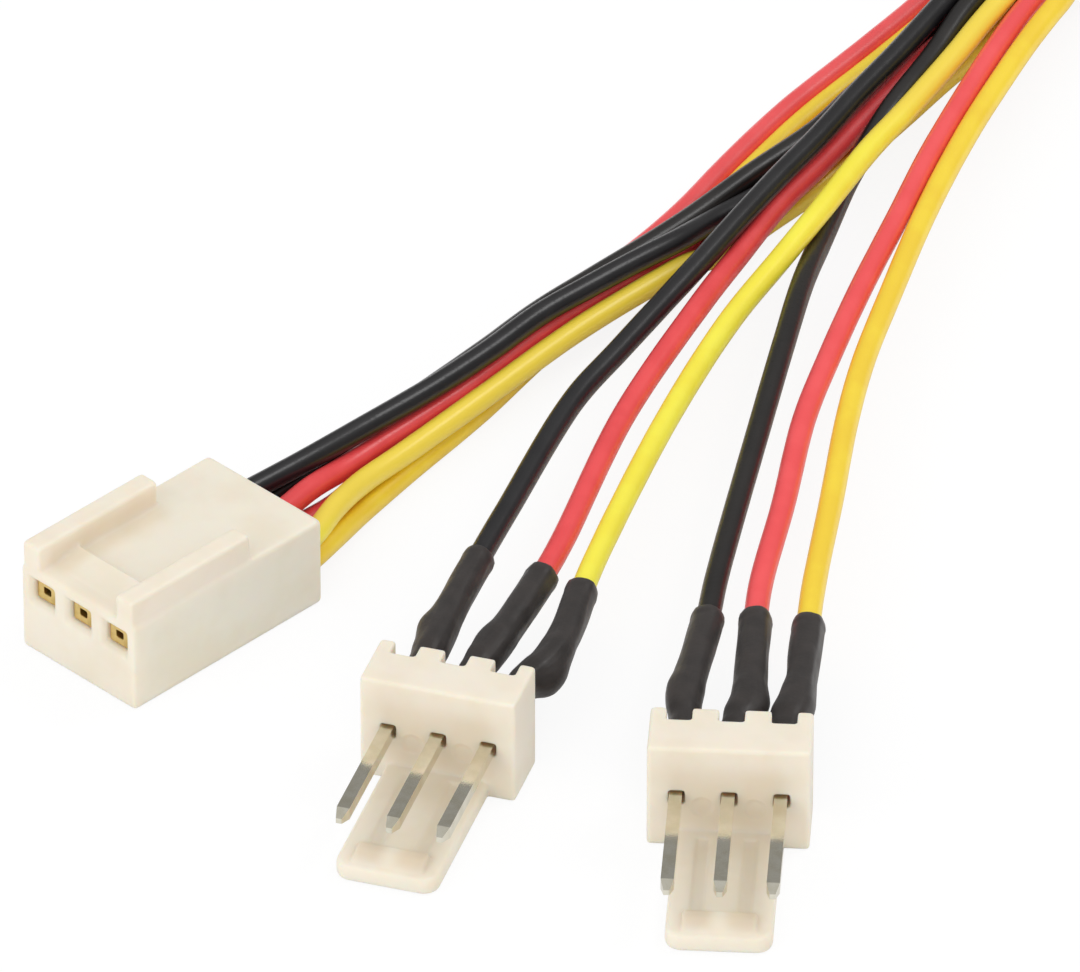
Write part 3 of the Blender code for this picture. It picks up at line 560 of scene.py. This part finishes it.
def nylon(name, painted_shades):
    """Moulded cream nylon, slightly translucent. Each painted shade is (strength, box), a
    soft-edged tan field in the object's own coordinates: painted shade, with the deeper tone that
    light takes inside thick moulding."""
    made, tree, shader, coords = principled(name, {
        "Subsurface Weight": 0.45, "Subsurface Radius": (1.0, 0.6, 0.35),
        "Subsurface Scale": NYLON_DEPTH, "IOR": PLASTIC_IOR,
    })
    clouds = noise_at(tree, coords, NYLON_CLOUDS)
    colour = mixed(tree, remap(tree, clouds, *PATCHY), CREAM, CREAM_DEEP)
    split = node(tree, "SeparateXYZ", {"Vector": coords}).outputs
    # Each painted shade mixes tan into the colour inside its soft-edged box
    for strength, (low, high, soft) in painted_shades:
        share = strength
        for axis in range(3):
            up = remap(tree, split[axis], low[axis] - soft, low[axis] + soft)
            down = remap(tree, split[axis], high[axis] - soft, high[axis] + soft, 1.0, 0.0)
            share = times(tree, up, down, share)
        colour = mixed(tree, share, colour, PAINTED_SHADE_TAN)
    tree.links.new(colour, shader.inputs["Base Color"])
    gloss = remap(tree, clouds, *BROAD, *NYLON_ROUGHNESS, smooth=False)
    tree.links.new(gloss, shader.inputs["Roughness"])
    grain = noise_at(tree, coords, NYLON_GRAIN)
    bumped(tree, shader, ((grain, 0.12, 0.02 * MM), (clouds, 0.15, 0.12 * MM)))
    return made


def insulation(name, colour, deep, painted_shade_gold=None):
    """Soft glossy plastic with slight lumps and a few dull specks. The golden colour, if given, is
    painted shade on the wire's leg to the socket housing."""
    made, tree, shader, coords = principled(name, {
        "Coat Weight": 0.25, "Coat Roughness": 0.22, "IOR": PLASTIC_IOR,
    })
    clouds = noise_at(tree, coords, WIRE_CLOUDS)
    tint = mixed(tree, remap(tree, clouds, *EVEN), colour, deep)
    if painted_shade_gold:
        # Painted shade: golden on the leg to the socket housing, up to a slanting, soft-edged line
        split = node(tree, "SeparateXYZ", {"Vector": coords}).outputs
        inputs = {0: times(tree, split["Y"], LEG_SLANT), 1: split["X"]}
        slanted = node(tree, "Math", inputs, operation="ADD").outputs[0]
        share = remap(tree, slanted, *LEG_LINE, 1.0, 0.0)
        tint = mixed(tree, share, tint, painted_shade_gold)
    tree.links.new(tint, shader.inputs["Base Color"])
    specks = noise_at(tree, coords, WIRE_SPECKS, 2.0)
    gloss = remap(tree, specks, *SPARSE, *WIRE_ROUGHNESS)
    tree.links.new(gloss, shader.inputs["Roughness"])
    lumps = noise_at(tree, coords, WIRE_LUMPS, 2.0)
    bumped(tree, shader, ((specks, 0.12, 0.02 * MM), (lumps, 0.25, 0.05 * MM)))
    return made


def shrink(name):
    """Matt black shrink sleeve with a soft sheen, an uneven surface and a fine grain."""
    made, tree, shader, coords = principled(name, {
        "IOR": PLASTIC_IOR, "Sheen Weight": 0.15, "Sheen Roughness": 0.5,
    })
    clouds = noise_at(tree, coords, SLEEVE_CLOUDS)
    colour = mixed(tree, remap(tree, clouds, *PATCHY), *SLEEVE_COLOURS)
    tree.links.new(colour, shader.inputs["Base Color"])
    gloss = remap(tree, clouds, *BROAD, *SLEEVE_ROUGHNESS, smooth=False)
    tree.links.new(gloss, shader.inputs["Roughness"])
    grain = noise_at(tree, coords, SLEEVE_GRAIN)
    bumped(tree, shader, ((grain, 0.2, 0.02 * MM), (clouds, 0.45, 0.1 * MM)))
    return made


def metal(name, colour, deep, roughness, spread):
    """Plated or bare metal with a fine grain and uneven gloss."""
    made, tree, shader, coords = principled(name, {"Metallic": 1.0})
    clouds = noise_at(tree, coords, METAL_CLOUDS)
    tint = mixed(tree, remap(tree, clouds, *BROAD), colour, deep)
    tree.links.new(tint, shader.inputs["Base Color"])
    gloss = remap(tree, clouds, *BROAD, roughness, roughness + spread, smooth=False)
    tree.links.new(gloss, shader.inputs["Roughness"])
    grain = noise_at(tree, coords, METAL_GRAIN, 2.0)
    bumped(tree, shader, ((grain, 0.15, 0.01 * MM),))
    return made


# Shapes


def shown(name, mesh, finish, place=None):
    """A finished piece in the scene, riding on the one body."""
    made = bpy.data.objects.new(name, mesh)
    bpy.context.scene.collection.objects.link(made)
    if place:
        made.matrix_world = place
    made.data.materials.append(finish)
    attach(made, BODY)
    return made


def mesh_of(name, fill):
    """A closed mesh; fill adds its shape to the bmesh."""
    work = bmesh.new()
    fill(work)
    bmesh.ops.recalc_face_normals(work, faces=work.faces)
    mesh = bpy.data.meshes.new(name)
    work.to_mesh(mesh)
    work.free()
    return mesh


def add_box(work, low, high):
    """A box between two corners, added to a bmesh."""
    size = [high[i] - low[i] for i in range(3)]
    middle = [(high[i] + low[i]) / 2 for i in range(3)]
    place = Matrix.Translation(middle) @ Matrix.Diagonal((*size, 1.0))
    bmesh.ops.create_cube(work, size=1.0, matrix=place)


def add_loft(work, rings):
    """Closed rings of points joined one to the next, with both ends filled."""
    made = [[work.verts.new(point) for point in ring] for ring in rings]
    for near, far in zip(made, made[1:]):
        for i in range(len(near)):
            j = (i + 1) % len(near)
            work.faces.new((near[i], near[j], far[j], far[i]))
    work.faces.new(made[0][::-1])
    work.faces.new(made[-1])


def add_prism(work, outline, start, end):
    """An outline of (y, z) points carried along X from start to end."""
    add_loft(work, [[(x, y, z) for y, z in outline] for x in (start, end)])


def spots(work, low, high):
    """The same box at each of the three ways, its corners given from the way's middle."""
    for _, place in WAYS:
        shift = place * PITCH
        add_box(work, (low[0] + shift, *low[1:]), (high[0] + shift, *high[1:]))


class Carving:
    """A block that is joined with and cut by other shapes, then rounded as one moulded piece."""

    def __init__(self, name, fill, round_by):
        self.block = self.add(name, fill)
        self.others = []
        self.soften(self.block, round_by)

    def add(self, name, fill):
        made = bpy.data.objects.new(name, mesh_of(name, fill))
        bpy.context.scene.collection.objects.link(made)
        return made

    def soften(self, piece, width):
        bevel = piece.modifiers.new("edges", "BEVEL")
        bevel.width = width
        bevel.segments = BEVEL_STEPS
        bevel.limit_method = "ANGLE"
        bevel.angle_limit = math.radians(BEVEL_FROM_DEGREES)

    def change(self, operation, fill, soft=0.0):
        other = self.add(f"{self.block.name}_{len(self.others)}", fill)
        if soft:
            self.soften(other, soft)
        step = self.block.modifiers.new(other.name, "BOOLEAN")
        step.operation = operation
        step.solver = "EXACT"
        step.use_self = True
        step.object = other
        self.others.append(other)

    def join(self, fill, soft=0.0):
        self.change("UNION", fill, soft)

    def cut(self, fill):
        self.change("DIFFERENCE", fill)

    def moulded(self, name, spacing, smoothing):
        """The final mesh, its edges rounded by an even remesh, a smoothing and a thinning."""
        remesh = self.block.modifiers.new("even", "REMESH")
        remesh.mode = "VOXEL"
        remesh.voxel_size = spacing
        smooth = self.block.modifiers.new("smooth", "SMOOTH")
        smooth.factor = SMOOTHED_BY
        smooth.iterations = smoothing
        thin = self.block.modifiers.new("thin", "DECIMATE")
        thin.ratio = FACES_KEPT
        graph = bpy.context.evaluated_depsgraph_get()
        mesh = bpy.data.meshes.new_from_object(self.block.evaluated_get(graph))
        mesh.name = name
        for helper in (self.block, *self.others):
            bpy.data.objects.remove(helper)
        mesh.materials.clear()
        mesh.shade_smooth()
        return mesh


def tab_outline():
    """The lock tab seen from above, its two free corners rounded."""
    half = TAB_WIDTH / 2
    points = [(-half, HEADER_DEPTH / 2), (half, HEADER_DEPTH / 2)]
    for side in (1, -1):
        centre = (side * (half - TAB_CORNER), -TAB_LENGTH + TAB_CORNER)
        for step in range(CORNER_STEPS + 1):
            turn = math.pi / 2 * step / CORNER_STEPS
            across = math.cos(turn) if side > 0 else math.sin(turn)
            along = math.sin(turn) if side > 0 else math.cos(turn)
            points.append((centre[0] + side * TAB_CORNER * across, centre[1] - TAB_CORNER * along))
    return points


def header_mesh():
    """The header's body in its own coordinates: the block with its standoffs, and the lock tab."""
    half = HEADER_WIDTH / 2
    full = HEADER_DEPTH + STANDOFF
    lip_tip = -TAB_LENGTH + LIP_INSET
    lip_end = lip_tip + LIP_LENGTH
    side = TAB_WIDTH / 2 - TAB_CORNER
    lip = (
        (lip_tip, TAB_HEIGHT - LAP), (lip_tip, TAB_HEIGHT + CLEAR),
        (lip_tip + LIP_SLOPE, TAB_HEIGHT + LIP_HEIGHT), (lip_end, TAB_HEIGHT + LIP_HEIGHT),
        (lip_end, TAB_HEIGHT - LAP),
    )

    def block(w):
        add_box(w, (-half, 0, 0), (half, full, HEADER_HEIGHT))

    def tab(w):
        add_loft(w, [[(x, y, z) for x, y in tab_outline()] for z in (0.0, TAB_HEIGHT)])

    def grooves(w):
        for way in (-1, 1):
            middle = way * GROOVE_APART / 2
            left, right = middle - GROOVE_WIDTH / 2, middle + GROOVE_WIDTH / 2
            add_box(w, (left, lip_end + GROOVE_TO_LIP, TAB_HEIGHT - GROOVE_SHOWN),
                    (right, -GROOVE_FROM, TAB_HEIGHT + LAP))

    def ejector_marks(w):
        for way in (-1, 1):
            place = Matrix.Translation((way * PITCH / 2, EJECTOR_DEPTH - LAP, EJECTOR_Z))
            bmesh.ops.create_cone(
                w, cap_ends=True, segments=EJECTOR_SIDES, radius1=EJECTOR / 2, radius2=EJECTOR / 2,
                depth=2 * LAP, matrix=place @ Matrix.Rotation(math.pi / 2, 4, "X"))

    hole = PIN_SIDE / 2 + CLEAR
    gap = hole + PIN_GAP
    work = Carving("header_block", block, HEADER_ROUND)
    work.cut(lambda w: spots(w, (-CHANNEL_WIDTH / 2, HEADER_DEPTH, -LAP),
                             (CHANNEL_WIDTH / 2, full + LAP, HEADER_HEIGHT + LAP)))
    work.join(tab, TAB_ROUND)
    work.join(lambda w: add_prism(w, lip, -side, side), LIP_ROUND)
    work.cut(grooves)
    work.cut(lambda w: spots(w, (-hole, -LAP, PIN_Z - hole), (hole, full + LAP, PIN_Z + hole)))
    work.cut(lambda w: spots(w, (-hole, -LAP, PIN_Z - hole), (gap, PIN_GAP_DEPTH, PIN_Z + gap)))
    work.cut(ejector_marks)
    return work.moulded("header_body", *HEADER_GRID)


def field(low, high, soft):
    """A box and the softness of its edge, given in millimetres."""
    return [value * MM for value in low], [value * MM for value in high], soft * MM


def header_painted_shade_finish(label):
    """Painted shade in tan over the front face and low on it, along each groove, and by the lip."""
    # Painted shade: tan on the front face, which faces away from the light above, and more low down
    front = field((-2.9, -0.3, 1.2), (2.9, 0.25, 4.6), 0.6)
    low_front_shade = field((-3.0, -1.2, 0.7), (3.0, 0.2, 2.4), 0.6)
    painted_shades = [(0.32, front), (0.06, low_front_shade)]
    for way in (-1, 1):
        middle = way * GROOVE_APART / 2 / MM
        # Painted shade along each groove and in a blotch where it ends by the lip
        groove_shade = field((middle - 0.4, -6.6, 0.4), (middle + 0.4, -1.0, 1.1), 0.3)
        lip_shade = field((middle - 0.75, -7.9, 0.4), (middle + 0.75, -6.5, 1.6), 0.4)
        painted_shades += [(0.12, groove_shade), (0.36, lip_shade)]
    return nylon(f"header_nylon_{label}", painted_shades)


def headers():
    mesh = header_mesh()
    for label in HEADERS:
        finish = header_painted_shade_finish(label)
        made = shown(f"moulded_header_{label}", mesh.copy(), finish, header_place(label))
        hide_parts(f"header_body_{label}")


def housing():
    """The socket's body: two polarising ribs, a lock ramp between them, and three cavities."""
    front = -SOCKET_LENGTH / 2
    half = SOCKET_WIDTH / 2

    def block(w):
        add_box(w, (-half, front, 0), (half, -front, SOCKET_HEIGHT))

    work = Carving("housing_block", block, SOCKET_ROUND)
    for side in (-1, 1):
        outer = side * (half - RIB_INSET)
        inner = outer - side * RIB_WIDTH
        low = (min(outer, inner), front, SOCKET_HEIGHT - LAP)
        high = (max(outer, inner), front + RIB_LENGTH, SOCKET_HEIGHT + RIB_HEIGHT)
        work.join(lambda w: add_box(w, low, high), RIB_ROUND)
    inside = half - RIB_INSET - RIB_WIDTH
    start = front + RAMP_FROM
    stop = start + RAMP_LENGTH
    ramp = (
        (start, SOCKET_HEIGHT - LAP), (start, SOCKET_HEIGHT + CLEAR),
        (stop, SOCKET_HEIGHT + RAMP_HEIGHT), (stop, SOCKET_HEIGHT - LAP),
    )
    work.join(lambda w: add_prism(w, ramp, -inside - LAP, inside + LAP))
    work.cut(lambda w: spots(w, (-CAVITY_WIDTH / 2, front + MOUTH_WALL, CAVITY_FLOOR),
                             (CAVITY_WIDTH / 2, -front + LAP, CAVITY_TOP)))
    wide, tall = MOUTH_WIDTH / 2, MOUTH_HEIGHT / 2
    work.cut(lambda w: spots(w, (-wide, front - LAP, MOUTH_Z - tall),
                             (wide, front + MOUTH_WALL + LAP, MOUTH_Z + tall)))

    def lead_ins(w):
        for _, place in WAYS:
            rings = []
            for y, more in ((front - MOUTH_FLARE, 2 * MOUTH_FLARE), (front + MOUTH_FLARE, 0.0)):
                x, z = wide + more, tall + more
                corners = ((-x, -z), (x, -z), (x, z), (-x, z))
                rings.append([(place * PITCH + x, y, MOUTH_Z + z) for x, z in corners])
            add_loft(w, rings)

    work.cut(lead_ins)
    window = front + WINDOW_FROM
    work.cut(lambda w: spots(w, (-WINDOW_WIDTH / 2, window, -LAP),
                             (WINDOW_WIDTH / 2, window + WINDOW_LENGTH, CAVITY_FLOOR + LAP)))
    mesh = work.moulded("housing", *SOCKET_GRID)
    # Painted shade: tan in the corner where the left rib meets the top
    shade = ((-inside - 0.2 * MM, front + 0.8 * MM, SOCKET_HEIGHT - 0.1 * MM),
             (-inside + 1.0 * MM, front + RIB_LENGTH, SOCKET_HEIGHT + 1.0 * MM), 0.4 * MM)
    made = shown("moulded_housing", mesh, nylon("housing_nylon", [(0.25, shade)]))
    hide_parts("socket_housing")


def contact_fronts(finish):
    """The rolled front of each terminal, seen in its mouth and joined to the leaves behind."""
    front = -SOCKET_LENGTH / 2
    back = front + MOUTH_WALL + CONTACT_LAP
    wide, tall, hole = CONTACT_WIDTH / 2, CONTACT_HEIGHT / 2, CONTACT_HOLE / 2

    def block(w):
        add_box(w, (-wide, front + CONTACT_FROM, MOUTH_Z - tall), (wide, back, MOUTH_Z + tall))

    def opening(w):
        sill = MOUTH_Z - hole + CONTACT_SILL
        add_box(w, (-hole, front, sill), (hole, back + LAP, MOUTH_Z + hole))

    for colour, place in WAYS:
        work = Carving(f"contact_{colour}", block, CONTACT_ROUND)
        work.cut(opening)
        name = f"contact_front_{colour}"
        way = Matrix.Translation((place * PITCH, 0.0, 0.0))
        made = shown(name, work.moulded(name, *CONTACT_GRID), finish, way)


# Wires and sleeves


def wire(name, path, finish):
    """One insulated wire as a curve, its thickness uneven by a hundredth or so."""
    line = spaced(stretch_of(path, 0.0, path_length(path) - INSULATED_FROM), WIRE_STEP)
    curve = bpy.data.curves.new(f"insulation_{name}", "CURVE")
    curve.dimensions = "3D"
    curve.bevel_depth = WIRE / 2
    curve.bevel_resolution = WIRE_ROUNDNESS
    curve.use_fill_caps = True
    row = curve.splines.new("POLY")
    row.points.add(len(line) - 1)
    row.use_smooth = True
    for target, point in zip(row.points, line):
        target.co = (*point, 1.0)
        target.radius = 1.0 + WIRE_UNEVEN * noise.noise(point / WIRE_UNEVEN_OVER)
    made = shown(f"insulation_{name}", curve, finish)
    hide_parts(f"wire_{name}")


def eased(rows, along):
    """The value at a distance, eased between rows of (distance, value)."""
    for (start, first), (end, last) in zip(rows, rows[1:]):
        if along <= end:
            share = max(0.0, (along - start) / (end - start))
            share = share * share * (3.0 - 2.0 * share)
            return first + (last - first) * share
    return rows[-1][1]


def uneven(turn, walked, seed, amounts):
    """One kind of unevenness, at an angle round the sleeve and a distance along it."""
    share, often, length = amounts
    place = Vector((math.cos(turn) * often + seed, math.sin(turn) * often, walked / length))
    return share * noise.noise(place)


def sleeve(name, path, finish):
    """The shrunk sleeve: narrow over the pin, full over the joint, snug on the wire and drawn in at
    its open end."""
    covered = spaced(stretch_of(path[::-1], SLEEVE_IN, SLEEVE_LENGTHS[name]), SLEEVE_STEP)
    total = path_length(covered)
    radii = [(along * MM, radius * MM) for along, radius in SLEEVE_RADII]
    radii += [(total - along * MM, radius * MM) for along, radius in SLEEVE_END_RADII]
    thinnest = SLEEVE_BORE / 2 + CLEAR
    seed = sum(ord(letter) for letter in name) * SEED_STEP

    def fill(work):
        outer, inner = [], []
        side = (covered[1] - covered[0]).cross(Vector((0.0, 0.0, 1.0))).normalized()
        walked = 0.0
        for i, centre in enumerate(covered):
            before, after = covered[max(i - 1, 0)], covered[min(i + 1, len(covered) - 1)]
            heading = (after - before).normalized()
            walked += (centre - before).length
            side = (side - heading * side.dot(heading)).normalized()
            up = heading.cross(side)
            base = eased(radii, walked)
            ring, bore = [], []
            for k in range(SLEEVE_SIDES):
                turn = 2 * math.pi * k / SLEEVE_SIDES
                around = side * math.cos(turn) + up * math.sin(turn)
                lumps = uneven(turn, walked, seed, LUMPS)
                wrinkles = uneven(turn, walked, seed, WRINKLES)
                radius = base * (1 + lumps + wrinkles)
                for along, across, rise, size, spread in BULGES[name]:
                    facing = max(0.0, around.dot((RIGHT * across + RISE * rise).normalized()))
                    away = (walked / MM - along) / spread
                    radius += size * MM * facing**2 * math.exp(-away ** 2)
                ring.append(work.verts.new(centre + around * max(radius, thinnest)))
                bore.append(work.verts.new(centre + around * SLEEVE_BORE / 2))
            outer.append(ring)
            inner.append(bore)
        for k in range(SLEEVE_SIDES):
            j = (k + 1) % SLEEVE_SIDES
            for near, far in zip(outer, outer[1:]):
                work.faces.new((near[k], near[j], far[j], far[k]))
            for near, far in zip(inner, inner[1:]):
                work.faces.new((near[j], near[k], far[k], far[j]))
            work.faces.new((outer[0][j], outer[0][k], inner[0][k], inner[0][j]))
            work.faces.new((outer[-1][k], outer[-1][j], inner[-1][j], inner[-1][k]))

    mesh = mesh_of(f"sleeve_{name}", fill)
    mesh.shade_smooth()
    mesh.set_sharp_from_angle(angle=math.radians(SLEEVE_SHARP_DEGREES))
    made = shown(f"sleeve_{name}", mesh, finish)
    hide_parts(f"shrink_sleeve_{name}")


def metals():
    """The CAD's own metal pieces keep their shapes and get their finish here."""
    finishes = {kind: metal(*values) for kind, values in METALS.items()}
    for name, piece in nodes.items():
        kind = name.split("_", 1)[0]
        if kind in finishes:
            for slot in piece.material_slots:
                slot.material = finishes[kind]
    contact_fronts(finishes["terminal"])


# Stage


def camera():
    turn, rise = math.radians(CAMERA_AZIMUTH), math.radians(CAMERA_ELEVATION)
    level = math.cos(rise)
    back = Vector((math.sin(turn) * level, -math.cos(turn) * level, math.sin(rise)))
    data = bpy.data.cameras.new("camera")
    data.lens = CAMERA_LENS
    data.sensor_width = SENSOR
    made = bpy.data.objects.new("camera", data)
    bpy.context.scene.collection.objects.link(made)
    made.location = TARGET + back * CAMERA_DISTANCE
    made.rotation_mode = "QUATERNION"
    made.rotation_quaternion = (-back).to_track_quat("-Z", "Y")
    bpy.context.scene.camera = made


def lamps():
    for name, lamp in LAMPS.items():
        data = bpy.data.lights.new(name, "AREA")
        data.shape = "SQUARE"
        data.size = lamp["size"]
        data.energy = lamp["power"]
        made = bpy.data.objects.new(name, data)
        bpy.context.scene.collection.objects.link(made)
        towards = Vector(lamp["towards"]).normalized()
        made.location = MIDDLE + towards * lamp["distance"]
        made.rotation_mode = "QUATERNION"
        made.rotation_quaternion = towards.to_track_quat("Z", "Y")


def world():
    """White where it is seen, and plain soft light from all round; reflections see a studio
    that is darker at the sides than overhead."""
    made = bpy.data.worlds.new("studio")
    bpy.context.scene.world = made
    made.use_nodes = True
    tree = made.node_tree
    rays = node(tree, "LightPath").outputs
    inputs = {0: rays["Is Camera Ray"], 1: rays["Is Transmission Ray"]}
    seen = node(tree, "Math", inputs, operation="MAXIMUM").outputs[0]
    coords = node(tree, "TexCoord").outputs["Generated"]
    height = node(tree, "SeparateXYZ", {"Vector": coords}).outputs["Z"]
    studio = remap(tree, height, *GLOSS_RISES, GLOSS_AT_HORIZON, GLOSS_OVERHEAD)
    level = mixed(tree, rays["Is Glossy Ray"], (AMBIENT,) * 3, studio)
    level = mixed(tree, seen, level, (1.0, 1.0, 1.0))
    tree.links.new(level, tree.nodes["Background"].inputs["Color"])


def floor():
    half = FLOOR_SIZE / 2
    mesh = bpy.data.meshes.new("floor")
    corners = ((-half, -half), (half, -half), (half, half), (-half, half))
    mesh.from_pydata([(x, y, FLOOR_Z) for x, y in corners], [], [(0, 1, 2, 3)])
    made = bpy.data.objects.new("floor", mesh)
    bpy.context.scene.collection.objects.link(made)
    finish = bpy.data.materials.new("floor")
    finish.use_nodes = True
    tree = finish.node_tree
    tree.nodes.remove(tree.nodes["Principled BSDF"])
    plain = node(tree, "BsdfDiffuse", {"Color": rgba((FLOOR_GREY,) * 3)}).outputs[0]
    white = node(tree, "Emission", {"Color": rgba((1.0,) * 3), "Strength": FLOOR_WHITE}).outputs[0]
    share = times(tree, node(tree, "LightPath").outputs["Is Camera Ray"], FLOOR_SEEN)
    both = node(tree, "MixShader", {0: share, 1: plain, 2: white}).outputs[0]
    tree.links.new(both, tree.nodes["Material Output"].inputs["Surface"])
    made.data.materials.append(finish)


def main():
    camera()
    world()
    lamps()
    floor()
    finishes = {name: insulation(name, *colours) for name, colours in WIRE_COLOURS.items()}
    sleeve_finish = shrink("shrink")
    for name in ROUTES:
        path = wire_path(name)
        wire(name, path, finishes[name])
        sleeve(name, path, sleeve_finish)
    headers()
    housing()
    metals()
    bpy.context.scene.view_settings.view_transform = "Standard"


main()
